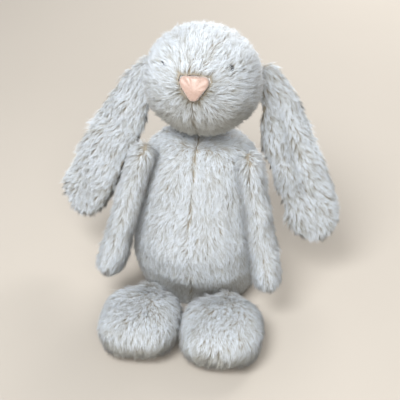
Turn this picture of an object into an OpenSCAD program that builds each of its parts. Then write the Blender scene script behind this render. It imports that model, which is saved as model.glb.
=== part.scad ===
// Seated lop-eared plush rabbit.
// Millimetres, +Z up, the face looks towards -Y. The origin is the middle of the flat base panel.
// Left and right are the rabbit's own: its left side is +X.
// Every covering is a closed sheet as thick as its backing and its pressed pile together.

/* [Torso] */
// Width of the torso at its widest
torso_width = 150; // [125:1:180]
// Reach of the belly in front of the torso's axis
belly_reach = 68; // [54:1:84]
// Reach of the back behind the torso's axis
back_reach = 58; // [44:1:74]
// Height of the torso from the seat to the neck
torso_height = 188; // [150:1:230]
// Angle by which the torso leans back
torso_lean = 9; // [0:1:15]

/* [Head] */
// Width of the head
head_width = 126; // [100:1:155]
// Depth of the head from nose side to back
head_depth = 116; // [92:1:142]
// Height of the head
head_height = 118; // [94:1:144]
// Angle by which the face looks up
head_tilt = 16; // [0:1:25]
// Width of the nose
nose_width = 33; // [24:1:42]
// Height of the nose
nose_height = 27; // [20:1:36]
// How far the nose stands proud of the face
nose_proud = 3; // [1:0.5:6]
// Diameter of an eye bead
eye_diameter = 9; // [6:0.5:13]
// Angle of each eye to the side of the nose
eye_spread = 38; // [28:1:50]
// Angle of the eyes above the nose
eye_rise = 21; // [14:1:30]
// Depth of an eye's middle below the pile's surface
eye_depth = 2.5; // [1:0.5:3]

/* [Ears] */
// Length of an ear from root to tip
ear_length = 212; // [160:1:235]
// Width of an ear at its widest
ear_width = 63; // [50:1:72]
// Thickness of an ear, both panels together
ear_thickness = 14; // [10:1:18]
// Angle by which the left ear leans outwards as it hangs
left_ear_splay = 21; // [12:1:28]
// Angle by which the right ear leans outwards as it hangs
right_ear_splay = 26; // [12:1:28]
// Angle by which a hanging ear leans forwards
ear_forward = 12; // [0:1:14]
// Turn of the ear's broad face away from the front
ear_turn = 20; // [5:1:40]
// Angle of the ear's root behind the head's side
ear_root_angle = 34; // [20:1:40]

/* [Arms] */
// Length of an arm from shoulder to paw
arm_length = 158; // [125:1:175]
// Thickness of the arm at the paw
paw_width = 32; // [26:1:38]
// Forward swing of the left arm as it rests
left_arm_swing = 16; // [10:1:40]
// Forward swing of the right arm as it rests
right_arm_swing = 18; // [10:1:40]
// Angle of the shoulder round from the torso's side towards its front
shoulder_turn = 38; // [20:1:50]
// Gap between the shoulder and the torso
shoulder_out = 3.5; // [0:0.5:8]

/* [Legs] */
// Length of a foot from heel to toe
foot_length = 88; // [72:1:108]
// Width of a foot
foot_width = 87; // [70:1:105]
// Height of a foot
foot_height = 51; // [44:1:62]
// Thickness of the leg above the foot
leg_thickness = 34; // [28:1:42]

/* [Tail] */
// Diameter of the tail
tail_diameter = 46; // [34:1:56]

/* [Fabric] */
// Thickness of the backing and its pressed pile
pile = 5; // [3:0.5:7]
// Gap between two panels along a seam
seam_gap = 0.4; // [0.3:0.1:0.8]
// Gap between one layer and the next inside
layer_gap = 0.3; // [0.2:0.1:0.6]
// Gap between two pieces that move on each other
joint_gap = 1.2; // [0.8:0.1:3]
// Thickness of the inner cloth bag
pouch_cloth = 1.5; // [1:0.1:2.5]

/* [Hidden] */
LEFT = 1;
RIGHT = -1;
paw_out = [0.565, 0.595]; // shares of the torso's width at which the left and the right paw rest
ring_count = 24;
limb_ring_count = 16;
reach_all = 600;
lean_rate = tan(torso_lean);

// Torso outline from seat to neck: height share, then the shares of its width, belly and back
torso_outline = [
    [0.00, 0.76, 0.62, 0.80],
    [0.05, 0.85, 0.66, 0.90],
    [0.14, 0.95, 0.78, 0.98],
    [0.26, 1.00, 0.96, 1.00],
    [0.40, 0.98, 1.00, 0.97],
    [0.56, 0.94, 0.92, 0.90],
    [0.72, 0.89, 0.82, 0.83],
    [0.85, 0.82, 0.72, 0.76],
    [0.93, 0.74, 0.62, 0.67],
    [0.98, 0.56, 0.45, 0.50],
];
pouch_width = torso_width * 0.62;
pouch_depth = back_reach * 1.25;
pouch_height = torso_height * 0.22;
pouch_clear = 2;

// Neck and head
neck_gap = joint_gap;
head_centre = [0, lean_rate * torso_height + 3, torso_height + neck_gap + head_height / 2];
gusset_half = head_width * 0.27;
washer_diameter = eye_diameter * 1.5;
washer_height = 2;
shank_diameter = eye_diameter * 0.36;

// Ear: the root sits just outside the head's side
ear_root_width = ear_width * 0.4;
ear_full_at = 0.42; // share of its length at which the ear is at its widest
ear_root_out = ear_thickness / 2 + joint_gap + ear_root_width * 0.18;
ear_pivot = head_centre + [
    (head_width / 2 + ear_root_out) * cos(ear_root_angle),
    (head_depth / 2 + ear_root_out) * sin(ear_root_angle),
    0,
];

// Arm: the shoulder ball lies against the torso, part of the way round from its side to its front
arm_width = paw_width * 0.86;
shoulder_z = torso_height * 0.94;
shoulder_reach = shoulder_out + arm_width / 2 + joint_gap;
shoulder_share = [0.72, 0.61]; // the torso outline's width and belly shares there
shoulder_pivot = [
    (torso_width / 2 * shoulder_share.x + shoulder_reach) * cos(shoulder_turn),
    lean_rate * shoulder_z - (belly_reach * shoulder_share.y + shoulder_reach) * sin(shoulder_turn),
    shoulder_z,
];
// The arm leans out as far as the torso widens below the shoulder
function arm_splay(side) = asin(
    (torso_width * (side == LEFT ? paw_out[0] : paw_out[1]) - shoulder_pivot.x)
    / (arm_length - arm_width / 2 - paw_width / 2)
);

// Leg: the hip ball sits just in front of the torso's lower front
hip_x = foot_width / 2 + 0.5;
hip_z = leg_thickness / 2 + pile + seam_gap;
hip_share = [0.93, 0.75]; // the torso outline's width and belly shares there
hip_reach = leg_thickness * 0.66 + joint_gap;
torso_front_at_hip = belly_reach * hip_share.y * sqrt(1 - pow(hip_x / (torso_width / 2 * hip_share.x), 2));
hip_pivot = [hip_x, lean_rate * hip_z - torso_front_at_hip - hip_reach, hip_z];
foot_flat = 2;

tail_z = torso_height * 0.24;
tail_y = lean_rate * tail_z + back_reach + tail_diameter * 0.22;
label_size = [0.8, 24, 15];

fur_colour = [0.80, 0.82, 0.85];
sole_colour = [0.76, 0.74, 0.68];
fill_colour = "white";
nose_colour = [0.86, 0.69, 0.65];

// ---- Shapes that all pieces share ----

// One closed ring round a centre, with its own reach to each side, to the front and to the back
function ring(centre, half, front, back, power = 1, count = ring_count) = [
    for (i = [0 : count - 1])
        let (a = 360 * i / count, c = cos(a), s = sin(a))
        centre + [
            half * sign(c) * pow(abs(c), power),
            (s < 0 ? front : back) * sign(s) * pow(abs(s), power),
            0,
        ]
];

// A closed solid from rings stacked upwards between two end points
module stack(rings, bottom, top) {
    n = len(rings[0]);
    last = len(rings) - 1;
    points = concat([bottom], [for (r = rings) each r], [top]);
    function at(r, i) = 1 + r * n + i % n;
    walls = [for (r = [0 : last - 1], i = [0 : n - 1]) [at(r, i), at(r + 1, i), at(r + 1, i + 1), at(r, i + 1)]];
    ends = [for (i = [0 : n - 1]) each [[0, at(0, i), at(0, i + 1)], [len(points) - 1, at(last, i + 1), at(last, i)]]];
    polyhedron(points, concat(walls, ends), convexity = 4);
}

// An egg whose half sizes are given; fullness under 2 is pointed and over 2 is boxy
module egg(half, front, back, rise, rings = 11, fullness = 2, power = 1) {
    function share(u) = pow(1 - pow(abs(u), fullness), 1 / fullness);
    levels = [for (k = [1 : rings]) sin(90 * (2 * k / (rings + 1) - 1))];
    stack(
        [for (u = levels) ring([0, 0, rise * u], half * share(u), front * share(u), back * share(u), power)],
        [0, 0, -rise], [0, 0, rise]
    );
}

// Keeps what lies on one side of the middle plane x = 0
module keep_side(side, gap) {
    intersection() {
        children();
        translate([side * (reach_all + gap / 2), 0, 0]) cube(2 * reach_all, center = true);
    }
}

// Puts a piece on the right by mirroring the left one
module on_side(side) {
    if (side == LEFT) children();
    else mirror([1, 0, 0]) children();
}

// ---- Torso ----

// The torso's outer shape, drawn in by an inset
module torso_form(inset = 0) {
    low = inset;
    high = torso_height - inset;
    function level(t) = low + (high - low) * t;
    function axis_point(t) = [0, lean_rate * level(t), level(t)];
    stack(
        [for (row = torso_outline) ring(
            axis_point(row[0]),
            (torso_width / 2 - inset) * row[1],
            (belly_reach - inset) * row[2],
            (back_reach - inset) * row[3]
        )],
        axis_point(0), axis_point(1)
    );
}

// Half of space in front of (-1) or behind (1) the torso's side seams
module torso_half_space(way) {
    rotate([-torso_lean, 0, 0])
        translate([0, way * (reach_all + seam_gap / 2), 0]) cube(2 * reach_all, center = true);
}

module torso_panel(side, way) {
    color(fur_colour)
    keep_side(side, seam_gap) intersection() {
        difference() {
            torso_form();
            torso_form(pile);
            torso_opening();
        }
        torso_half_space(way);
        translate([0, 0, pile + seam_gap + reach_all]) cube(2 * reach_all, center = true);
    }
}

// Room for the label's sewn end
module torso_opening() {
    label_place() translate([-layer_gap, -label_size.y, -layer_gap])
        cube([label_size.x + 2 * layer_gap, label_size.y * 2, label_size.z + 2 * layer_gap]);
}

module base_panel() {
    color(sole_colour)
    intersection() {
        torso_form();
        translate([0, 0, pile / 2]) cube([reach_all, reach_all, pile], center = true);
    }
}

module pouch_form(inset = 0) {
    translate([0, lean_rate * pouch_height, pile + pouch_clear + pouch_height / 2])
        egg(pouch_width / 2 - inset, pouch_depth / 2 - inset, pouch_depth / 2 - inset,
            pouch_height / 2 - inset, rings = 7, fullness = 2.4);
}

module torso_stuffing() {
    color(fill_colour)
    difference() {
        torso_form(pile + layer_gap);
        pouch_form(-layer_gap);
    }
}

module pellet_pouch() {
    color("wheat")
    difference() {
        pouch_form();
        pouch_form(pouch_cloth);
    }
}

module pellets() {
    color("ivory") pouch_form(pouch_cloth + layer_gap);
}

module tail_form(inset = 0) {
    r = tail_diameter / 2 - inset;
    translate([0, tail_y, tail_z]) egg(r, r, r, r, rings = 9);
}

module tail_cover() {
    color(fur_colour)
    difference() {
        tail_form();
        tail_form(pile);
        torso_form(-layer_gap);
    }
}

module tail_stuffing() {
    color(fill_colour)
    difference() {
        tail_form(pile + layer_gap);
        torso_form(-layer_gap);
    }
}

// The label stands out of the centre-back seam, under the tail
module label_place() {
    translate([-label_size.x / 2, back_reach * 0.86, pile + 1]) children();
}

module care_label() {
    color("white")
    difference() {
        label_place() cube(label_size);
        torso_form(pile * 0.5);
    }
}

// ---- Head ----

module head_place() {
    translate(head_centre) rotate([-head_tilt, 0, 0]) children();
}

module head_form(inset = 0) {
    egg(head_width / 2 - inset, head_depth / 2 - inset, head_depth / 2 - inset, head_height / 2 - inset);
}

// Distance from the head's centre to its surface along a direction
function head_radius(d) =
    1 / norm([d.x / (head_width / 2), d.y / (head_depth / 2), d.z / (head_height / 2)]);

// The nose outline: a rounded triangle with its point down
module nose_outline(grow = 0) {
    corner = nose_height * 0.24;
    half = nose_width / 2 - corner;
    hull() {
        for (side = [LEFT, RIGHT])
            translate([side * half, nose_height / 2 - corner]) circle(corner + grow, $fn = 24);
        translate([0, corner - nose_height / 2]) circle(corner + grow, $fn = 24);
    }
}

module nose_prism(grow = 0) {
    rotate([90, 0, 0]) linear_extrude(head_depth) nose_outline(grow);
}

module nose() {
    color(nose_colour)
    head_place() intersection() {
        difference() {
            head_form(-nose_proud);
            head_form(pile);
        }
        nose_prism();
    }
}

// The forehead gusset: a wedge from the nose over the crown to the nape
module gusset_wedge(grow = 0) {
    top = head_height;
    tip = -head_depth / 2 - nose_proud;
    intersection() {
        translate([0, 0, -top]) linear_extrude(2 * top)
            polygon([
                [-grow, tip], [grow, tip],
                [gusset_half + grow, -head_depth * 0.12], [gusset_half + grow, top],
                [-gusset_half - grow, top], [-gusset_half - grow, -head_depth * 0.12],
            ]);
        rotate([-30, 0, 0])
            translate([0, 0, reach_all - grow - head_depth / 2 * sin(30)]) cube(2 * reach_all, center = true);
    }
}

module head_shell() {
    difference() {
        head_form();
        head_form(pile);
        nose_prism(seam_gap);
        for (side = [LEFT, RIGHT]) eye_place(side) eye_socket();
    }
}

module head_side(side) {
    color(fur_colour)
    head_place() keep_side(side, seam_gap) difference() {
        head_shell();
        gusset_wedge(seam_gap);
    }
}

module head_gusset() {
    color(fur_colour)
    head_place() intersection() {
        head_shell();
        gusset_wedge();
    }
}

module head_stuffing() {
    color(fill_colour)
    head_place() difference() {
        head_form(pile + layer_gap);
        for (side = [LEFT, RIGHT]) eye_place(side) washer_room();
    }
}

// Local frame on the face at an eye: +Z points out of the head
module eye_place(side) {
    d = [sin(eye_spread) * cos(eye_rise) * side, -cos(eye_spread) * cos(eye_rise), sin(eye_rise)];
    translate(d * head_radius(d))
        rotate([0, 90 - eye_rise, side * eye_spread - 90]) children();
}

module eye_socket() {
    translate([0, 0, -eye_depth]) sphere(d = eye_diameter + 2 * layer_gap, $fn = 20);
    translate([0, 0, -2 * pile]) cylinder(d = shank_diameter + 2 * layer_gap, h = 3 * pile, $fn = 20);
}

module washer_room() {
    translate([0, 0, -2.6 * pile - washer_height])
        cylinder(d = washer_diameter + 2, h = 2.6 * pile + washer_height, $fn = 24);
}

module eye(side) {
    color("black")
    head_place() eye_place(side) {
        translate([0, 0, -eye_depth]) sphere(d = eye_diameter, $fn = 48);
        translate([0, 0, -1.9 * pile]) cylinder(d = shank_diameter, h = 1.9 * pile, $fn = 32);
    }
}

module eye_washer(side) {
    color("dimgray")
    head_place() eye_place(side) translate([0, 0, -1.5 * pile - washer_height])
        difference() {
            cylinder(d = washer_diameter, h = washer_height, $fn = 32);
            translate([0, 0, -1]) cylinder(d = shank_diameter + 0.1, h = washer_height + 2, $fn = 32);
        }
}

// ---- Ears ----

// Half width of the ear at a share of its length, and its outward bow
function ear_half(t) =
    (ear_root_width + (ear_width - ear_root_width) * (1 - cos(180 * min(1, t / ear_full_at))) / 2) / 2;
function ear_round(t, end) = t > 1 - end ? sqrt(1 - pow((t - 1 + end) / end, 2)) : 1;
function ear_bow(t) = -6 * sin(180 * t);

// The ear hangs down from its root at the origin; its outer face looks along -Y
module ear_form() {
    root_end = ear_thickness / 2 / ear_length;
    tip_end = ear_width * 0.5 / ear_length;
    levels = [for (k = [0 : 11]) 1 - (1 - cos(180 * (k + 0.6) / 12.2)) / 2];
    stack(
        [for (t = levels)
            let (round = ear_round(t, tip_end) * ear_round(1 - t, root_end))
            ring([0, ear_bow(t), ear_thickness / 2 - ear_length * t], ear_half(t) * round,
                ear_thickness / 2 * sqrt(round), ear_thickness / 2 * sqrt(round), 0.8, limb_ring_count)],
        [0, ear_bow(1), ear_thickness / 2 - ear_length], [0, ear_bow(0), ear_thickness / 2]
    );
}

// Half of space on one side of the bowed seam that runs round the ear's edge
module ear_layer_space(way) {
    rotate([90, 0, 90]) linear_extrude(2 * reach_all, center = true)
        polygon(concat(
            [for (k = [0 : 12]) let (t = k * 1.2 / 12 - 0.1)
                [ear_bow(min(1, max(0, t))) + way * seam_gap / 2, ear_thickness / 2 - ear_length * t]],
            [[way * reach_all, -ear_length * 1.1], [way * reach_all, ear_length * 0.1]]
        ));
}

// The ear leans out at least so far that its inner edge clears the torso's side
ear_inner_reach = torso_width * 0.475 + ear_width * 0.47 + joint_gap;
ear_least_splay = asin((ear_inner_reach - ear_pivot.x) / (ear_length * 0.57));
function ear_splay(side) = max(ear_least_splay, side == LEFT ? left_ear_splay : right_ear_splay);

module ear_panel(side, way) {
    color(fur_colour)
    on_side(side) translate(ear_pivot) rotate([-ear_forward, -ear_splay(side), 0]) rotate([0, 0, ear_turn])
        intersection() {
            ear_form();
            ear_layer_space(way);
        }
}

// ---- Arms ----

function arm_swing(side) = side == LEFT ? left_arm_swing : right_arm_swing;

// The arm hangs down from the shoulder's centre at the origin
module arm_form(inset = 0) {
    top = arm_width / 2;
    length = arm_length - 2 * inset;
    function half(t) = (arm_width + (paw_width - arm_width) * t) / 2 - inset;
    function cap(t, end) = t < end ? sqrt(1 - pow(1 - t / end, 2)) : 1;
    levels = [for (k = [0 : 9]) 1 - (1 - cos(180 * (k + 0.55) / 10.1)) / 2];
    stack(
        [for (t = levels)
            let (r = half(t) * cap(t, arm_width / 2 / arm_length) * cap(1 - t, paw_width / 2 / arm_length))
            ring([0, 0, top - inset - length * t], r, r, r, count = limb_ring_count)],
        [0, 0, top - inset - length], [0, 0, top - inset]
    );
}

module arm_place(side) {
    on_side(side) translate(shoulder_pivot)
        rotate([-arm_swing(side), 0, 0]) rotate([0, -arm_splay(side), 0]) children();
}

// way is 1 for the outer panel and -1 for the one against the torso
module arm_panel(side, way) {
    color(fur_colour)
    arm_place(side) keep_side(way, seam_gap) difference() {
        arm_form();
        arm_form(pile);
    }
}

module arm_stuffing(side) {
    color(fill_colour) arm_place(side) arm_form(pile + layer_gap);
}

// ---- Legs ----

// The hip's centre is the origin; the leg and the foot reach forwards, along -Y
module foot_form(inset = 0) {
    middle = foot_height / 2 - foot_flat;
    translate([0, -foot_length / 2, middle - hip_z])
        rotate([90, 0, 0])
            egg(foot_width / 2 - inset, foot_height / 2 - inset, foot_height / 2 - inset,
                foot_length / 2 - inset, rings = 9, fullness = 2.9, power = 0.76);
}

module leg_form(inset = 0) {
    r = leg_thickness / 2 - inset;
    length = foot_length * 0.5;
    ball = [for (k = [1 : 4]) let (a = 90 * k / 4 - 90) ring([0, 0, r * sin(a)], r * cos(a), r * cos(a), r * cos(a))];
    rotate([90, 0, 0]) stack(concat(ball, [ring([0, 0, length], r, r, r)]), [0, 0, -r], [0, 0, length]);
}

module leg_place(side) {
    on_side(side) translate(hip_pivot) children();
}

module above_floor(height) {
    intersection() {
        children();
        translate([0, 0, height - hip_z + reach_all]) cube(2 * reach_all, center = true);
    }
}

module leg_cover(side) {
    color(fur_colour)
    leg_place(side) difference() {
        leg_form();
        leg_form(pile);
        foot_form(pile);
    }
}

module foot_upper(side) {
    color(fur_colour)
    leg_place(side) above_floor(pile + seam_gap) difference() {
        foot_form();
        foot_form(pile);
        leg_form(-seam_gap);
    }
}

module foot_sole(side) {
    color(sole_colour)
    leg_place(side) intersection() {
        foot_form();
        translate([0, 0, pile / 2 - hip_z]) cube([reach_all, reach_all, pile], center = true);
    }
}

module leg_stuffing(side) {
    color(fill_colour)
    leg_place(side) above_floor(pile + layer_gap) {
        foot_form(pile + layer_gap);
        leg_form(pile + layer_gap);
    }
}

torso_panel(LEFT, -1);  // torso_front_left
torso_panel(RIGHT, -1);  // torso_front_right
torso_panel(LEFT, 1);  // torso_back_left
torso_panel(RIGHT, 1);  // torso_back_right
base_panel();
torso_stuffing();
pellet_pouch();
pellets();
tail_cover();
tail_stuffing();
care_label();
head_side(LEFT);  // head_side_left
head_side(RIGHT);  // head_side_right
head_gusset();
head_stuffing();
nose();
eye(LEFT);  // eye_left
eye(RIGHT);  // eye_right
eye_washer(LEFT);  // eye_washer_left
eye_washer(RIGHT);  // eye_washer_right
ear_panel(LEFT, -1);  // ear_outer_left
ear_panel(LEFT, 1);  // ear_inner_left
ear_panel(RIGHT, -1);  // ear_outer_right
ear_panel(RIGHT, 1);  // ear_inner_right
arm_panel(LEFT, 1);  // arm_outer_left
arm_panel(LEFT, -1);  // arm_inner_left
arm_stuffing(LEFT);  // arm_stuffing_left
arm_panel(RIGHT, 1);  // arm_outer_right
arm_panel(RIGHT, -1);  // arm_inner_right
arm_stuffing(RIGHT);  // arm_stuffing_right
leg_cover(LEFT);  // leg_cover_left
foot_upper(LEFT);  // foot_upper_left
foot_sole(LEFT);  // foot_sole_left
leg_stuffing(LEFT);  // leg_stuffing_left
leg_cover(RIGHT);  // leg_cover_right
foot_upper(RIGHT);  // foot_upper_right
foot_sole(RIGHT);  // foot_sole_right
leg_stuffing(RIGHT);  // leg_stuffing_right
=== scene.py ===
"""Looks of the seated lop-eared plush rabbit: combed pile on puffed panels, satin nose, bead eyes, care label.

Metres, +Z up, the face looks along -Y, and the rabbit's own left is +X.
Each fabric panel of the CAD model becomes one piece: a thin closed backing with its own tufts of pile.
"""
import math

import bmesh
import bpy
import numpy as np
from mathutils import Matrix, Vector, noise
from mathutils.bvhtree import BVHTree
from mathutils.kdtree import KDTree


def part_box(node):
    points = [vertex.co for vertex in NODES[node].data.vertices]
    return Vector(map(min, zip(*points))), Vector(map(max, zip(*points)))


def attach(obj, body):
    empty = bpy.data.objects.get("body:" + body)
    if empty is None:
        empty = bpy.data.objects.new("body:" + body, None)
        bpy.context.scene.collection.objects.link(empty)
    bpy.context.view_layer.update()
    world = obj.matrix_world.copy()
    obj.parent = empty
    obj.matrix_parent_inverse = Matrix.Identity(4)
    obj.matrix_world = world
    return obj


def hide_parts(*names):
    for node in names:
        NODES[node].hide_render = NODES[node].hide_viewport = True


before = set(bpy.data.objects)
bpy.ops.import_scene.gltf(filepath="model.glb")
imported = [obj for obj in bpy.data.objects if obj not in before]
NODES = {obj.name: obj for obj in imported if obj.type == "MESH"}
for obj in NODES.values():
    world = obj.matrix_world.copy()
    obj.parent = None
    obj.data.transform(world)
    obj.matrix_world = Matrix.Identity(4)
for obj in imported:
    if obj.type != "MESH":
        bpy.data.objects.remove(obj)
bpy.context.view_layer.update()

# ---- Driving numbers ----

MM = 0.001
DOWN = np.array([0.0, 0.0, -1.0])
SIDEWAYS = np.array([1.0, 0.0, 0.0])

# Strands: how many, how long, how thick, and how far each one leans from the skin's normal
CURVED_PER_CM2 = 62
STRAIGHT_PER_CM2 = 90
STRAND_LENGTH = 11 * MM
STRAND_RADIUS = 0.27 * MM
STRAND_BEND = 0.36
LEAN = math.radians(69)
LEAN_SPREAD = math.radians(6)
FRIZZ = 0.06
ROOT_DEPTH = 0.4 * MM
FLOOR_CLEARANCE = 0.3 * MM
# Share of the skin's normal in a strand's shading, which makes the pile look dense
NORMAL_LIFT = 0.75

# Tufts: strands share a direction and their tips gather over the tuft's middle
TUFT_SPACING = 2.5 * MM
TUFT_TURN = math.radians(13)
TUFT_GATHER = 0.5
SWIRL_TURN = math.radians(24)
SWIRL_SIZE = 26 * MM
# A slight common turn, so that the pile has a direction even where its comb direction points out of the skin
POLE_SWIRL = 0.12
SEAM_PARTING_REACH = 6 * MM

# Painted light: undersides get painted shade, darker and warmer, and the parts of the feet near the seat get a
# painted warm reflection of the seat, darker and warmer
UNDERSIDE_PAINTED_SHADE = 1.3
UNDERSIDE_LIMIT = 0.25
SEAT_REFLECTION_PAINT_HEIGHT = 38 * MM

# Where the pile stands up more: over the eyes and the nose's edge, and in the creases beside the arms
EYE_OPENING = 0.30
FACE_REACH = 16 * MM
FACE_RAISE = math.radians(38)
CREASE_REACH = 24 * MM
CREASE_RAISE = math.radians(28)

# Backing: a little inside the CAD's outer surface, which stands for the pressed pile
BACKING = 1.0 * MM
FILLING_CLEARANCE = 0.5 * MM
CLOTH_FRAMES = 20
CLOTH_PRESSURE = 4.0
RUMPLE_SIZE = 32 * MM
EAR_FOLD_DEPTH = 5 * MM
EAR_FOLD_WIDTH = 6 * MM

# Nose pad: drawn in to make room for the pile at its edge, crowned, with small tucks round the edge
NOSE_SHRINK = 0.92
NOSE_CROWN = 2.2 * MM
NOSE_TUCKS = 11
NOSE_TUCK_DEPTH = 0.6 * MM
NOSE_STITCHED_EDGE = 0.85

# Care label: its flat size, its thickness, and how far its free end droops as a share of its length
LABEL_FLAT = (24 * MM, 15 * MM)
LABEL_THICKNESS = 0.4 * MM
LABEL_DROOP = 0.12
LABEL_STEPS = 16

UV_NAME = "OFBake"


# ---- Numpy and mesh helpers ----

def unit(v):
    """Vectors along the last axis, made one long."""
    return v / np.maximum(np.linalg.norm(v, axis=-1, keepdims=True), 1e-12)


def mesh_arrays(mesh):
    """Vertex places, vertex normals and triangles of a mesh."""
    mesh.calc_loop_triangles()
    co = np.empty(len(mesh.vertices) * 3, np.float32)
    mesh.vertices.foreach_get("co", co)
    normal = np.empty(len(mesh.vertices) * 3, np.float32)
    mesh.vertex_normals.foreach_get("vector", normal)
    tris = np.empty(len(mesh.loop_triangles) * 3, np.int32)
    mesh.loop_triangles.foreach_get("vertices", tris)
    return co.reshape(-1, 3).astype(float), normal.reshape(-1, 3).astype(float), tris.reshape(-1, 3)


def node_points(*names):
    """All vertex places of some CAD nodes."""
    return np.concatenate([mesh_arrays(NODES[n].data)[0] for n in names])


def new_object(name, mesh):
    """An object in the scene that shows a mesh."""
    ob = bpy.data.objects.new(name, mesh)
    bpy.context.scene.collection.objects.link(ob)
    return ob


def baked_mesh(ob):
    """The mesh that an object shows, with its modifiers in it."""
    bpy.context.view_layer.update()
    graph = bpy.context.evaluated_depsgraph_get()
    return bpy.data.meshes.new_from_object(ob.evaluated_get(graph))


def settle(ob):
    """Turns an object's modifiers into its mesh."""
    old, new = ob.data, baked_mesh(ob)
    ob.modifiers.clear()
    ob.data = new
    bpy.data.meshes.remove(old)


def keep_largest_island(ob):
    """Drops the small closed shells that a remesh leaves inside."""
    bm = bmesh.new()
    bm.from_mesh(ob.data)
    left = set(bm.verts)
    islands = []
    while left:
        island, edge = set(), [left.pop()]
        while edge:
            v = edge.pop()
            island.add(v)
            for e in v.link_edges:
                other = e.other_vert(v)
                if other in left:
                    left.discard(other)
                    edge.append(other)
        islands.append(island)
    islands.sort(key=len)
    spare = [v for island in islands[:-1] for v in island]
    bmesh.ops.delete(bm, geom=spare, context="VERTS")
    bm.to_mesh(ob.data)
    bm.free()


def move_vertices(ob, co):
    """Gives an object's mesh new vertex places."""
    ob.data.vertices.foreach_set("co", co.astype(np.float32).ravel())
    ob.data.update()


def smooth(ob, factor, times):
    """Evens out a mesh."""
    mod = ob.modifiers.new("smooth", "SMOOTH")
    mod.factor = factor
    mod.iterations = times
    settle(ob)


def shrink(ob, depth, steps=5):
    """Draws a closed mesh in by a depth, a step at a time so that thin rims stay sound."""
    for _ in range(steps):
        co, normal, _ = mesh_arrays(ob.data)
        move_vertices(ob, co - normal * depth / steps)
        smooth(ob, 0.25, 1)


# ---- Puffed forms ----

def rough_form(name, nodes, voxel):
    """One closed skin round copies of some CAD nodes."""
    bm = bmesh.new()
    for n in nodes:
        bm.from_mesh(NODES[n].data)
    mesh = bpy.data.meshes.new(name)
    bm.to_mesh(mesh)
    bm.free()
    ob = new_object(name, mesh)
    mod = ob.modifiers.new("skin", "REMESH")
    mod.mode = "VOXEL"
    mod.voxel_size = voxel
    settle(ob)
    keep_largest_island(ob)
    return ob


def face_owners(ob, panels):
    """Index of the panel that each face lies nearest to."""
    trees = [BVHTree.FromObject(NODES[p], bpy.context.evaluated_depsgraph_get()) for p in panels]
    owners = []
    for face in ob.data.polygons:
        near = [tree.find_nearest(face.center)[3] for tree in trees]
        owners.append(int(np.argmin(near)))
    return np.array(owners)


def seam_vertices(ob, owners):
    """True at the vertices where two panels meet."""
    low = np.full(len(ob.data.vertices), 10 ** 6)
    high = np.full(len(ob.data.vertices), -1)
    for face, owner in zip(ob.data.polygons, owners):
        for v in face.vertices:
            low[v] = min(low[v], owner)
            high[v] = max(high[v], owner)
    return low != high


def swell(ob, pinned, cap):
    """Puffs a form with a short cloth simulation under pressure; pinned vertices stay as seams."""
    before = mesh_arrays(ob.data)[0]
    group = ob.vertex_groups.new(name="seams")
    group.add([int(i) for i in np.flatnonzero(pinned)], 1.0, "REPLACE")
    mod = ob.modifiers.new("puff", "CLOTH")
    mod.settings.use_pressure = True
    mod.settings.uniform_pressure_force = CLOTH_PRESSURE
    mod.settings.effector_weights.gravity = 0
    mod.settings.vertex_group_mass = group.name
    mod.point_cache.frame_end = CLOTH_FRAMES
    for f in range(1, CLOTH_FRAMES + 1):
        bpy.context.scene.frame_set(f)
    settle(ob)
    bpy.context.scene.frame_set(1)
    after = mesh_arrays(ob.data)[0]
    step = after - before
    far = np.linalg.norm(step, axis=1, keepdims=True)
    move_vertices(ob, before + step * np.minimum(1, cap / np.maximum(far, 1e-9)))
    ob.vertex_groups.clear()


def rumple(ob, amount):
    """Gives a form the soft hollows and swellings of loose filling."""
    co, normal, _ = mesh_arrays(ob.data)
    height = np.array([noise.noise(Vector(p / RUMPLE_SIZE)) for p in co])
    move_vertices(ob, co + normal * (height * 2 * amount)[:, None])


def keep_outside(ob, cores, gap=BACKING + FILLING_CLEARANCE):
    """Moves the vertices of a form that come too near to its filling back out."""
    graph = bpy.context.evaluated_depsgraph_get()
    trees = [BVHTree.FromObject(NODES[c], graph) for c in cores]
    co = mesh_arrays(ob.data)[0]
    for i, p in enumerate(co):
        for tree in trees:
            at, normal, _, _ = tree.find_nearest(Vector(p))
            height = (Vector(co[i]) - at).dot(normal)
            if height < gap:
                co[i] += np.array(normal) * (gap - height)
    move_vertices(ob, co)


def puffed_form(name, panels, cores, voxel=4 * MM, inset=3.5 * MM, cap=2.5 * MM, rough=1.5 * MM, shape=None):
    """A body's whole skin, puffed between its seams, with the owner panel of each face."""
    ob = rough_form(name, panels + cores, voxel)
    smooth(ob, 0.5, 3)
    owners = face_owners(ob, panels)
    shrink(ob, inset)
    if shape:
        shape(ob)
    rumple(ob, rough)
    seams = seam_vertices(ob, owners)
    swell(ob, seams, cap)
    smooth(ob, 0.3, 1)
    keep_outside(ob, [c for c in cores if "stuffing" in c])
    return ob, owners, seams


# ---- Pile ----

def surface_samples(co, normal, tris, count, rng):
    """Random places on a mesh with their normals, evenly spread by area."""
    a, b, c = (co[tris[:, k]] for k in range(3))
    area = np.linalg.norm(np.cross(b - a, c - a), axis=1) / 2
    pick = rng.choice(len(tris), count, p=area / area.sum())
    u, v = rng.random(count), rng.random(count)
    over = u + v > 1
    u[over], v[over] = 1 - u[over], 1 - v[over]
    w = np.stack([1 - u - v, u, v], axis=1)
    place = sum(co[tris[pick, k]] * w[:, k:k + 1] for k in range(3))
    up = sum(normal[tris[pick, k]] * w[:, k:k + 1] for k in range(3))
    return place, unit(up)


def mesh_area(co, tris):
    """Area of a triangle mesh."""
    a, b, c = (co[tris[:, k]] for k in range(3))
    return float(np.linalg.norm(np.cross(b - a, c - a), axis=1).sum() / 2)


def thinned(place, spacing):
    """Indices of places so that each small cell of space keeps one."""
    cell = np.floor(place / spacing).astype(int)
    return np.unique(cell, axis=0, return_index=True)[1]


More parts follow.
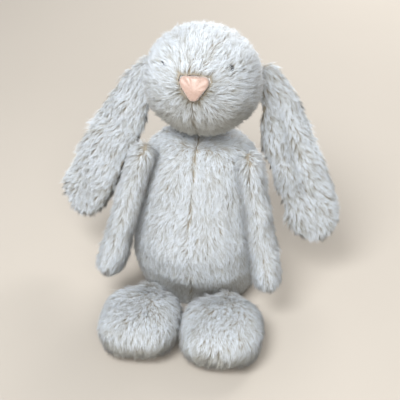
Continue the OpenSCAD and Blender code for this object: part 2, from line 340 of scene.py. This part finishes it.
def nearest(place, targets):
    """Index of, and distance to, the target nearest to each place."""
    tree = KDTree(len(targets))
    for i, t in enumerate(targets):
        tree.insert(t, i)
    tree.balance()
    found = [tree.find(p)[1:] for p in place]
    return np.array([f[0] for f in found]), np.array([f[1] for f in found])


def turned(v, axis, angle):
    """Vectors turned round their own axes by their own angles."""
    c, s = np.cos(angle)[:, None], np.sin(angle)[:, None]
    return v * c + np.cross(axis, v) * s


def tuft_habits(heads, rng, look):
    """For each tuft: its turn from the comb direction, its lean, its strands' length and its shade."""
    n = len(heads)
    swirl = np.array([noise.noise(Vector(p / SWIRL_SIZE)) for p in heads])
    turn = rng.normal(0, TUFT_TURN, n) + swirl * 2 * SWIRL_TURN
    lean = look.get("lean", LEAN) + rng.normal(0, LEAN_SPREAD, n)
    if "raised" in look:
        lean -= look["raised"](heads)
    length = STRAND_LENGTH * look.get("length", 1) * rng.uniform(0.8, 1.15, n)
    return turn, lean, length, rng.random(n)


def strand_shade(place, up, tuft_shade, rng, look):
    """Place of each strand on the colour map's shade axis: painted shade makes it darker and warmer on
    undersides, and a painted warm reflection of the seat makes it darker and warmer near the seat.
    """
    shade = tuft_shade * 0.7 + rng.random(len(place)) * 0.3
    # Painted shade on undersides, and a painted warm reflection of the seat low down
    painted_underside_shade = np.clip(UNDERSIDE_LIMIT - up[:, 2], 0, 1)
    seat_reflection_paint = look.get("painted_seat_reflection", 0) * np.clip(1.2 - place[:, 2] / SEAT_REFLECTION_PAINT_HEIGHT, 0, 1)
    shade = shade * np.maximum(0, 1 - UNDERSIDE_PAINTED_SHADE * (painted_underside_shade + seat_reflection_paint))
    return 0.04 + 0.92 * np.clip(shade, 0, 1)


def strands(place, up, comb, rng, look):
    """The strands that grow from some places, for each kind: vertex places, shading normals and shade."""
    n = len(place)
    heads = place[thinned(place, look.get("spacing", TUFT_SPACING))]
    tuft, _ = nearest(place, heads)
    turn, lean, length, tuft_shade = tuft_habits(heads, rng, look)

    along = turned(comb, up, turn[tuft] + rng.normal(0, 0.12, n))
    angle = lean[tuft] + rng.normal(0, 0.08, n)
    size = (length[tuft] * rng.uniform(0.75, 1.08, n))[:, None]
    rise = up * np.cos(angle)[:, None] * size
    reach = along * np.sin(angle)[:, None] * size
    pull = (heads[tuft] - place) * look.get("gather", TUFT_GATHER)
    stray = rng.normal(0, FRIZZ, (n, 3)) * size
    middle = place + rise * 2 * STRAND_BEND + reach * STRAND_BEND + pull * 0.35 + stray * 0.3
    tip = place + rise + reach + pull + stray
    root = place - up * ROOT_DEPTH
    for point in (middle, tip):
        point[:, 2] = np.maximum(point[:, 2], FLOOR_CLEARANCE)

    side = unit(np.cross(tip - root, up))
    over = unit(np.cross(tip - root, side))
    around = [(side * math.cos(a) + over * math.sin(a)) * STRAND_RADIUS for a in np.radians([90, 210, 330])]
    shade = strand_shade(place, up, tuft_shade[tuft], rng, look)
    low = [root + d for d in around]
    bent = np.stack(low + [middle + d * 0.8 for d in around] + [tip], axis=1)
    plain = np.stack(low + [tip], axis=1)
    outward = [unit(d) * (1 - NORMAL_LIFT) + up * NORMAL_LIFT for d in around]
    bent_light = np.stack(outward + outward + [up], axis=1)
    plain_light = np.stack(outward + [up], axis=1)
    curved = rng.random(n) < CURVED_PER_CM2 / (CURVED_PER_CM2 + STRAIGHT_PER_CM2)
    return [
        (CURVED, bent[curved], bent_light[curved], shade[curved]),
        (STRAIGHT, plain[~curved], plain_light[~curved], shade[~curved]),
    ]


class Strand:
    """The layout of one kind of strand: faces by vertex, and each vertex's place on the colour map."""

    def __init__(self, faces, u, v):
        self.loops = np.concatenate([np.array(f) for f in faces])
        self.sizes = np.array([len(f) for f in faces])
        self.starts = np.concatenate([[0], np.cumsum(self.sizes)[:-1]])
        self.u = np.array(u)[self.loops]
        self.v = np.array(v)[self.loops]


# A root ring of three vertices, a middle ring of three where the strand is curved, a tip, and a root cap
CURVED = Strand(
    [(0, 1, 4, 3), (1, 2, 5, 4), (2, 0, 3, 5), (3, 4, 6), (4, 5, 6), (5, 3, 6), (2, 1, 0)],
    [-0.01, 0.0, 0.01, -0.01, 0.0, 0.01, 0.0],
    [0.01, 0.01, 0.01, 0.5, 0.5, 0.5, 0.99],
)
STRAIGHT = Strand(
    [(0, 1, 3), (1, 2, 3), (2, 0, 3), (2, 1, 0)],
    [-0.01, 0.0, 0.01, 0.0],
    [0.01, 0.01, 0.01, 0.99],
)
BACKING_UV = (0.5, 0.04)


def closed_backing(form, owners, index, name):
    """The part of a form that one panel owns, as a thin closed sheet."""
    bm = bmesh.new()
    bm.from_mesh(form.data)
    bm.faces.ensure_lookup_table()
    spare = [f for f, owner in zip(bm.faces, owners) if owner != index]
    bmesh.ops.delete(bm, geom=spare, context="FACES")
    mesh = bpy.data.meshes.new(name)
    bm.to_mesh(mesh)
    bm.free()
    ob = new_object(name, mesh)
    outer = mesh_arrays(mesh)
    mod = ob.modifiers.new("thickness", "SOLIDIFY")
    mod.thickness = BACKING
    mod.offset = -1
    settle(ob)
    return ob, outer


def read(items, name, width=1, kind=np.int32):
    """One attribute of all of a mesh's items as an array."""
    out = np.empty(len(items) * width, kind)
    items.foreach_get(name, out)
    return out


def with_strands(ob, lots):
    """Adds strand geometry to a backing, and lays out the one map that colours both."""
    base = ob.data
    co = [read(base.vertices, "co", 3, np.float32).reshape(-1, 3)]
    loops = [read(base.loops, "vertex_index")]
    starts = [read(base.polygons, "loop_start")]
    uv = [np.tile(BACKING_UV, (len(base.loops), 1))]
    light = [mesh_arrays(base)[1]]
    for kind, rows, outward, shade in lots:
        n, corners = rows.shape[:2]
        first_vertex = sum(len(c) for c in co)
        first_loop = sum(len(c) for c in loops)
        count = np.arange(n)[:, None]
        co.append(rows.reshape(-1, 3))
        light.append(outward.reshape(-1, 3))
        loops.append((kind.loops + corners * count + first_vertex).ravel())
        starts.append((kind.starts + kind.sizes.sum() * count + first_loop).ravel())
        u = shade[:, None] + kind.u
        uv.append(np.stack([u, np.broadcast_to(kind.v, u.shape)], axis=2).reshape(-1, 2))
    co, loops, starts, uv = (np.concatenate(x) for x in (co, loops, starts, uv))
    mesh = bpy.data.meshes.new(ob.name)
    mesh.vertices.add(len(co))
    mesh.vertices.foreach_set("co", co.astype(np.float32).ravel())
    mesh.loops.add(len(loops))
    mesh.loops.foreach_set("vertex_index", loops.astype(np.int32))
    mesh.polygons.add(len(starts))
    mesh.polygons.foreach_set("loop_start", starts.astype(np.int32))
    mesh.update(calc_edges=True)
    mesh.polygons.foreach_set("use_smooth", np.ones(len(starts), bool))
    layer = mesh.uv_layers.new(name=UV_NAME)
    layer.data.foreach_set("uv", uv.astype(np.float32).ravel())
    mesh.normals_split_custom_set_from_vertices(unit(np.concatenate(light)).astype(np.float32))
    ob.data = mesh
    bpy.data.meshes.remove(base)


def lie_of_pile(place, up, seam_places, look):
    """The direction along the skin in which the pile lies: its comb direction, parted at the seams."""
    comb = look["comb"](place, up)
    if len(seam_places):
        which, far = nearest(place, seam_places)
        away = unit(place - seam_places[which])
        near = np.clip(1 - far / SEAM_PARTING_REACH, 0, 1)[:, None]
        comb = unit(comb) + away * near * look["parting"]
    comb = unit(comb) + np.cross(up, SIDEWAYS) * POLE_SWIRL
    comb = comb - up * np.sum(comb * up, axis=1, keepdims=True)
    return unit(comb)


def furry_panel(form, owners, index, panel, seam_places, look, rng):
    """One fabric panel as backing and pile, in place of its CAD node."""
    ob, (co, normal, tris) = closed_backing(form, owners, index, "pile_" + panel)
    per_m2 = (CURVED_PER_CM2 + STRAIGHT_PER_CM2) * 1e4
    count = int(mesh_area(co, tris) * per_m2 * look.get("density", 1))
    place, up = surface_samples(co, normal, tris, count, rng)
    if "keep" in look:
        kept = look["keep"](place)
        place, up = place[kept], up[kept]
    with_strands(ob, strands(place, up, lie_of_pile(place, up, seam_places, look), rng, look))
    ob.data.materials.append(look["material"])
    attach(ob, look["body"])
    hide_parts(panel)
    return ob


# ---- Materials ----

def new_material(name):
    """A node material, its tree and its shader."""
    mat = bpy.data.materials.new(name)
    mat.use_nodes = True
    tree = mat.node_tree
    return mat, tree, tree.nodes["Principled BSDF"]


def ramp(tree, stops):
    """A colour ramp with (place, colour) stops."""
    node = tree.nodes.new("ShaderNodeValToRGB")
    marks = node.color_ramp.elements
    while len(marks) < len(stops):
        marks.new(0.5)
    for mark, (at, colour) in zip(marks, stops):
        mark.position = at
        mark.color = (*colour, 1)
    return node


def pile_material(name, root, middle, tip):
    """Strand colour from root to tip, lighter or darker from tuft to tuft; the warm dark toward the root is
    painted shade deep in the pile with a painted warm reflection of the seat, and the warm dark low end of the
    tuft tones also carries the painted shade on undersides and near the seat.
    """
    mat, tree, shader = new_material(name)
    uv = tree.nodes.new("ShaderNodeUVMap")
    uv.uv_map = UV_NAME
    split = tree.nodes.new("ShaderNodeSeparateXYZ")
    tree.links.new(uv.outputs[0], split.inputs[0])
    # The warm dark root stop is painted shade deep in the pile and a painted warm reflection of the seat
    along = ramp(tree, [(0.02, root), (0.45, middle), (0.95, tip)])
    tree.links.new(split.outputs["Y"], along.inputs[0])
    # The warm dark low end serves darker tufts and also the painted underside shade and painted seat reflection
    tuft = ramp(tree, [(0.0, (0.56, 0.51, 0.42)), (0.4, (0.91, 0.91, 0.90)), (1.0, (1.0, 1.0, 1.0))])
    tree.links.new(split.outputs["X"], tuft.inputs[0])
    mix = tree.nodes.new("ShaderNodeMix")
    mix.data_type = "RGBA"
    mix.blend_type = "MULTIPLY"
    mix.inputs["Factor"].default_value = 1
    tree.links.new(along.outputs[0], mix.inputs["A"])
    tree.links.new(tuft.outputs[0], mix.inputs["B"])
    tree.links.new(mix.outputs["Result"], shader.inputs["Base Color"])
    shader.inputs["Roughness"].default_value = 0.62
    shader.inputs["Specular IOR Level"].default_value = 0.28
    shader.inputs["Sheen Weight"].default_value = 0.25
    shader.inputs["Sheen Roughness"].default_value = 0.45
    return mat


def mottled_material(name, light, dark, scale, roughness, bump=0.0, sheen=0.0, coat=0.0):
    """A surface whose colour and height vary with fine noise."""
    mat, tree, shader = new_material(name)
    where = tree.nodes.new("ShaderNodeTexCoord")
    grain = tree.nodes.new("ShaderNodeTexNoise")
    grain.inputs["Scale"].default_value = scale
    grain.inputs["Detail"].default_value = 6
    tree.links.new(where.outputs["Object"], grain.inputs["Vector"])
    tone = ramp(tree, [(0.3, dark), (0.7, light)])
    tree.links.new(grain.outputs["Fac"], tone.inputs[0])
    tree.links.new(tone.outputs[0], shader.inputs["Base Color"])
    if bump:
        height = tree.nodes.new("ShaderNodeBump")
        height.inputs["Strength"].default_value = bump
        height.inputs["Distance"].default_value = 0.3 * MM
        tree.links.new(grain.outputs["Fac"], height.inputs["Height"])
        tree.links.new(height.outputs[0], shader.inputs["Normal"])
    shader.inputs["Roughness"].default_value = roughness
    shader.inputs["Sheen Weight"].default_value = sheen
    shader.inputs["Coat Weight"].default_value = coat
    return mat


# Root colours: painted shade deep in the pile and a painted warm reflection of the seat
LONG_PILE = pile_material("long_pile_fur", (0.29, 0.25, 0.19), (0.60, 0.63, 0.65), (0.76, 0.83, 0.92))
# The short pile's warm cream is partly its own tone and partly a painted warm reflection of the seat
SHORT_PILE = pile_material("short_pile_fur", (0.32, 0.27, 0.20), (0.60, 0.55, 0.46), (0.76, 0.73, 0.65))
NOSE_SATIN = mottled_material("nose_satin", (0.46, 0.33, 0.28), (0.38, 0.26, 0.21), 700, 0.36, 0.5, 0.5)
EYE_GLOSS = mottled_material("eye_gloss", (0.012, 0.010, 0.010), (0.006, 0.005, 0.005), 300, 0.08, coat=1.0)
WASHER = mottled_material("washer_plastic", (0.30, 0.30, 0.30), (0.24, 0.24, 0.24), 500, 0.5, 0.1)
FIBRE_FILL = mottled_material("fibre_fill", (0.88, 0.88, 0.86), (0.74, 0.74, 0.72), 400, 0.95, 1.0)
POUCH_CLOTH = mottled_material("pouch_cloth", (0.80, 0.74, 0.62), (0.68, 0.62, 0.50), 1400, 0.9, 0.6)
PELLETS = mottled_material("pellet_beads", (0.90, 0.88, 0.82), (0.72, 0.70, 0.64), 350, 0.5, 0.8)
LABEL_TAPE = mottled_material("label_tape", (0.90, 0.90, 0.88), (0.82, 0.82, 0.80), 1600, 0.7, 0.4)


def dress_hidden_nodes():
    """The filling and fittings inside keep their CAD shape and get their own finish."""
    looks = {"stuffing": FIBRE_FILL, "washer": WASHER, "pouch": POUCH_CLOTH, "pellets": PELLETS}
    for name, ob in NODES.items():
        for word, mat in looks.items():
            if word in name:
                put_material(ob, mat)
        if name.startswith("eye_") and "washer" not in name:
            put_material(ob, EYE_GLOSS)


def put_material(ob, mat):
    """Every material slot of a CAD node gets one material."""
    if not ob.material_slots:
        ob.data.materials.append(mat)
    for s in ob.material_slots:
        s.material = mat


# ---- Comb directions: where the pile lies, body by body ----

def away_from(point):
    """The pile radiates from a point."""
    return lambda place, up: unit(place - point)


def box_point(node, x, y, z):
    """A point of a node's box from its shares along each side."""
    lo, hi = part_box(node)
    return np.array([lo[k] + (hi[k] - lo[k]) * s for k, s in enumerate((x, y, z))])


def long_axis(points):
    """The downward direction in which a limb is longest."""
    axis = np.linalg.svd(points - points.mean(0), full_matrices=False)[2][0]
    return axis if axis[2] < 0 else -axis


def down_along(axis, centre, flare):
    """The pile lies along a limb and fans out a little from its middle line."""
    def comb(place, up):
        off = place - centre
        off = off - axis * (off @ axis)[:, None]
        return axis + off * flare
    return comb


def head_comb(place, up):
    """From the nose outwards over the face, then down the back of the head."""
    nose = box_point("nose", 0.5, 0.0, 0.4)
    lo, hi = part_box("head_stuffing")
    back = np.clip((place[:, 1] - (lo[1] + hi[1]) / 2) / (hi[1] - lo[1]) * 2, 0, 1)[:, None]
    return unit(place - nose) * (1 - back) + DOWN * back * 1.2


def torso_comb(place, up):
    """Down the body, fanning out from the middle."""
    return DOWN + np.stack([place[:, 0] * 4, place[:, 1] * 2, np.zeros(len(place))], axis=1)


# ---- Bodies ----

def build_body(name, panels, cores, rng, look, looks_by_panel=None, spare=(), **form_options):
    """All fur panels of one body, from one puffed form. Faces that lie nearest to a spare node stay bare."""
    form, owners, seams = puffed_form("form_" + name, panels + list(spare), cores, **form_options)
    seam_places = mesh_arrays(form.data)[0][seams]
    for index, panel in enumerate(panels):
        own = dict(look)
        own.update((looks_by_panel or {}).get(panel, {}))
        furry_panel(form, owners, index, panel, seam_places, own, rng)
    bpy.data.objects.remove(form)


def clear_of_eyes(place):
    """False for roots that would grow through an eye bead."""
    kept = np.ones(len(place), bool)
    for side in ("left", "right"):
        lo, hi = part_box("eye_" + side)
        middle = np.array((lo + hi) / 2)
        kept &= np.linalg.norm(place - middle, axis=1) > (hi - lo).x * EYE_OPENING
    return kept


def nearness(far, reach, end):
    """1 close by, then falling over one reach to 0 where the distance is end reaches."""
    return np.clip(end - far / reach, 0, 1)


def raised_over_face(place):
    """How much more the pile stands up beside the eyes and the nose, which it half covers."""
    raised = np.zeros(len(place))
    for eye in ("eye_left", "eye_right"):
        far = np.linalg.norm(place - box_point(eye, 0.5, 0.5, 0.5), axis=1)
        raised = np.maximum(raised, nearness(far, FACE_REACH, 1.3))
    far = np.linalg.norm(place - box_point("nose", 0.5, 0.0, 0.55), axis=1)
    raised = np.maximum(raised, 0.5 * nearness(far, FACE_REACH, 2.0))
    return raised * FACE_RAISE


def arm_point(side, across, y, z):
    """A point of an arm's box; across runs from the torso's side outwards."""
    return box_point("arm_outer_" + side, across if side == "left" else 1 - across, y, z)


def far_from_line(place, start, end):
    """Distance of each place from a straight stretch."""
    along = end - start
    share = np.clip((place - start) @ along / (along @ along), 0, 1)
    return np.linalg.norm(place - start - share[:, None] * along, axis=1)


def raised_beside_arms(place):
    """How much more the pile stands up where an arm lies against the torso, so that it fills the crease."""
    raised = np.zeros(len(place))
    for side in ("left", "right"):
        far = far_from_line(place, arm_point(side, 0.25, 0.8, 0.93), arm_point(side, 0.8, 0.2, 0.08))
        raised = np.maximum(raised, nearness(far, CREASE_REACH, 1.8))
    return raised * CREASE_RAISE


def raised_at_shoulders(place):
    """How much more the pile stands up on the top of an arm."""
    raised = np.zeros(len(place))
    for side in ("left", "right"):
        far = np.linalg.norm(place - arm_point(side, 0.2, 0.5, 0.95), axis=1)
        raised = np.maximum(raised, nearness(far, CREASE_REACH, 1.5))
    return raised * CREASE_RAISE


def build_torso(rng):
    look = dict(body="torso", comb=torso_comb, material=LONG_PILE, slot="long_pile", fill=0.75, parting=0.55,
                lean=math.radians(72), raised=raised_beside_arms)
    flat = dict(comb=away_from(box_point("base_panel", 0.5, 0.5, 1)), material=SHORT_PILE,
                slot="short_pile", length=0.5, lean=math.radians(80), density=0.5)
    panels = ["torso_front_left", "torso_front_right", "torso_back_left", "torso_back_right", "base_panel"]
    build_body("torso", panels, ["torso_stuffing", "pellet_pouch", "pellets"], rng, look, {"base_panel": flat})


def build_tail(rng):
    root = box_point("tail_cover", 0.5, 0.0, 0.6)
    look = dict(body="torso", comb=away_from(root), material=LONG_PILE, slot="long_pile", fill=0.7,
                lean=math.radians(45))
    build_body("tail", ["tail_cover"], ["tail_stuffing"], rng, look, cap=1.5 * MM)


def build_head(rng):
    look = dict(body="head", comb=head_comb, material=LONG_PILE, slot="long_pile", fill=0.8, parting=0.8,
                keep=clear_of_eyes, lean=math.radians(70), raised=raised_over_face)
    panels = ["head_side_left", "head_side_right", "head_gusset"]
    build_body("head", panels, ["head_stuffing"], rng, look, spare=["nose"], rough=1.3 * MM)


def ear_fold(points):
    """Bends both layers of an ear into a long shallow valley beside its middle line."""
    middle = points.mean(0)
    length, width, through = np.linalg.svd(points - middle, full_matrices=False)[2]
    through = through if through[1] > 0 else -through
    half = np.abs((points - middle) @ length).max()

    def shape(ob):
        co = mesh_arrays(ob.data)[0]
        along = (co - middle) @ length / half
        across = (co - middle) @ width
        depth = np.exp(-(across / EAR_FOLD_WIDTH) ** 2) * np.clip(1.2 - along ** 2 * 1.6, 0, 1)
        move_vertices(ob, co + through * (depth * EAR_FOLD_DEPTH)[:, None])
    return shape


def build_ear(side, rng):
    panels = ["ear_outer_" + side, "ear_inner_" + side]
    points = node_points(*panels)
    fold = ear_fold(points) if side == "left" else None
    look = dict(body="ear_" + side, comb=down_along(long_axis(points), points.mean(0), 12),
                material=LONG_PILE, slot="long_pile", fill=0.15, parting=0.2, gather=0.75,
                spacing=4 * MM, lean=math.radians(64))
    build_body("ear_" + side, panels, [], rng, look, voxel=3.5 * MM, inset=3 * MM, cap=1.0 * MM,
               rough=2 * MM, shape=fold)


def build_arm(side, rng):
    panels = ["arm_outer_" + side, "arm_inner_" + side]
    points = node_points(*panels)
    look = dict(body="arm_" + side, comb=down_along(long_axis(points), points.mean(0), 8),
                material=LONG_PILE, slot="long_pile", fill=0.55, parting=0.3, raised=raised_at_shoulders)
    build_body("arm_" + side, panels, ["arm_stuffing_" + side], rng, look, cap=1.0 * MM, rough=2 * MM)


def build_leg(side, rng):
    upper, sole = "foot_upper_" + side, "foot_sole_" + side
    # The legs' pile gets a painted warm reflection of the seat near it, darker and warmer
    look = dict(body="leg_" + side, comb=away_from(box_point(upper, 0.5, 1.3, 1.1)),
                material=LONG_PILE, slot="long_pile", fill=0.7, parting=0.2, lean=math.radians(72),
                painted_seat_reflection=0.9)
    flat = dict(comb=away_from(box_point(sole, 0.5, 0.5, 1)), material=SHORT_PILE, slot="short_pile",
                length=0.6, lean=math.radians(78), density=0.7)
    panels = ["leg_cover_" + side, upper, sole]
    build_body("leg_" + side, panels, ["leg_stuffing_" + side], rng, look, {sole: flat}, cap=2 * MM)


def nose_shape(ob):
    """Crowns the nose pad and gathers its edge into tucks; gives each vertex's share of the way to the edge."""
    co, normal, _ = mesh_arrays(ob.data)
    lo, hi = (np.array(c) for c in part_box("nose"))
    middle = (lo + hi) / 2
    middle[2] += (hi - lo)[2] * 0.05
    off = co - middle
    side, rise = off[:, 0], off[:, 2]
    turn = np.arctan2(rise, side)
    edge = np.clip(np.hypot(side, rise) / ((hi - lo)[0] / 2), 0, 1)
    tucks = np.cos(turn * NOSE_TUCKS + 1.3 * np.sin(turn * 3)) * edge ** 2
    crown = (1 - edge ** 2) * NOSE_CROWN
    front = np.clip(-normal[:, 1], 0, 1)
    co = middle + off * np.array([NOSE_SHRINK, 1, NOSE_SHRINK])
    co[:, 1] -= (crown + tucks * NOSE_TUCK_DEPTH) * front
    move_vertices(ob, co)
    return edge


def build_nose():
    """A padded satin triangle, puffed inside its stitched edge."""
    ob = rough_form("nose_pad", ["nose"], 1.0 * MM)
    smooth(ob, 0.5, 16)
    edge = nose_shape(ob)
    swell(ob, edge > NOSE_STITCHED_EDGE, 0.6 * MM)
    mod = ob.modifiers.new("round", "SUBSURF")
    mod.levels = mod.render_levels = 1
    settle(ob)
    ob.data.polygons.foreach_set("use_smooth", np.ones(len(ob.data.polygons), bool))
    ob.data.materials.append(NOSE_SATIN)
    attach(ob, "head")
    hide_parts("nose")


def build_label():
    """A blank woven tape that stands out of the back seam and droops at its end."""
    lo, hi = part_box("care_label")
    length = LABEL_FLAT[0]
    bm = bmesh.new()
    rows = []
    for i in range(LABEL_STEPS + 1):
        t = i / LABEL_STEPS
        y = hi.y - length * (1 - t)
        x = (lo.x + hi.x) / 2 + LABEL_DROOP * length * t * t * math.sin(2.5 * t)
        rows.append([bm.verts.new((x, y, z)) for z in (lo.z, hi.z)])
    for a, b in zip(rows, rows[1:]):
        bm.faces.new((a[0], b[0], b[1], a[1]))
    mesh = bpy.data.meshes.new("care_tape")
    bm.to_mesh(mesh)
    bm.free()
    ob = new_object("care_tape", mesh)
    mod = ob.modifiers.new("thickness", "SOLIDIFY")
    mod.thickness = LABEL_THICKNESS
    mod.offset = 0
    settle(ob)
    ob.data.materials.append(LABEL_TAPE)
    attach(ob, "torso")
    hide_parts("care_label")


# ---- Stage, light and camera ----

def build_floor():
    """A plain pale floor, a little warm."""
    mat = mottled_material("floor", (0.42, 0.385, 0.34), (0.41, 0.375, 0.33), 3, 0.9)
    bpy.ops.mesh.primitive_plane_add(size=12)
    floor = bpy.context.object
    floor.name = "floor"
    floor.data.materials.append(mat)


def add_light(name, place, target, size, power, colour):
    """A round soft light that faces a target."""
    data = bpy.data.lights.new(name, "AREA")
    data.shape = "DISK"
    data.size = size
    data.energy = power
    data.color = colour
    ob = bpy.data.objects.new(name, data)
    bpy.context.scene.collection.objects.link(ob)
    ob.location = place
    ob.rotation_euler = (Vector(target) - Vector(place)).to_track_quat("-Z", "Y").to_euler()


def build_light():
    """A cool light from above and in front, a warm one lower down, one behind for the back, and a soft sky."""
    middle = (0, 0, 0.15)
    add_light("key", (-0.35, -0.85, 1.45), middle, 0.8, 28, (0.97, 0.985, 1.0))
    add_light("front", (0.25, -1.5, 1.2), middle, 1.2, 24, (1.0, 0.97, 0.93))
    add_light("back", (0.5, 1.5, 1.2), middle, 1.4, 38, (1.0, 0.98, 0.96))
    world = bpy.data.worlds.new("studio")
    bpy.context.scene.world = world
    world.use_nodes = True
    world.node_tree.nodes["Background"].inputs["Color"].default_value = (0.93, 0.96, 1.0, 1)
    world.node_tree.nodes["Background"].inputs["Strength"].default_value = 0.31
    bpy.context.scene.view_settings.view_transform = "Standard"


def build_camera():
    """From a little to the object's left and well above it, as the reference view is."""
    azimuth, elevation = math.radians(10), math.radians(34)
    distance = 0.95
    aim = Vector((0.006, -0.020, 0.131))
    back = Vector((
        math.sin(azimuth) * math.cos(elevation),
        -math.cos(azimuth) * math.cos(elevation),
        math.sin(elevation),
    ))
    data = bpy.data.cameras.new("camera")
    data.sensor_width = 36
    data.angle = math.radians(25.5)
    ob = bpy.data.objects.new("camera", data)
    bpy.context.scene.collection.objects.link(ob)
    ob.location = aim + back * distance
    ob.rotation_euler = (-back).to_track_quat("-Z", "Y").to_euler()
    bpy.context.scene.camera = ob


def main():
    build_camera()
    build_floor()
    build_light()
    dress_hidden_nodes()
    build_torso(np.random.default_rng(11))
    build_tail(np.random.default_rng(12))
    build_head(np.random.default_rng(13))
    for number, side in enumerate(("left", "right")):
        build_ear(side, np.random.default_rng(20 + number))
        build_arm(side, np.random.default_rng(30 + number))
        build_leg(side, np.random.default_rng(40 + number))
    build_nose()
    build_label()


main()
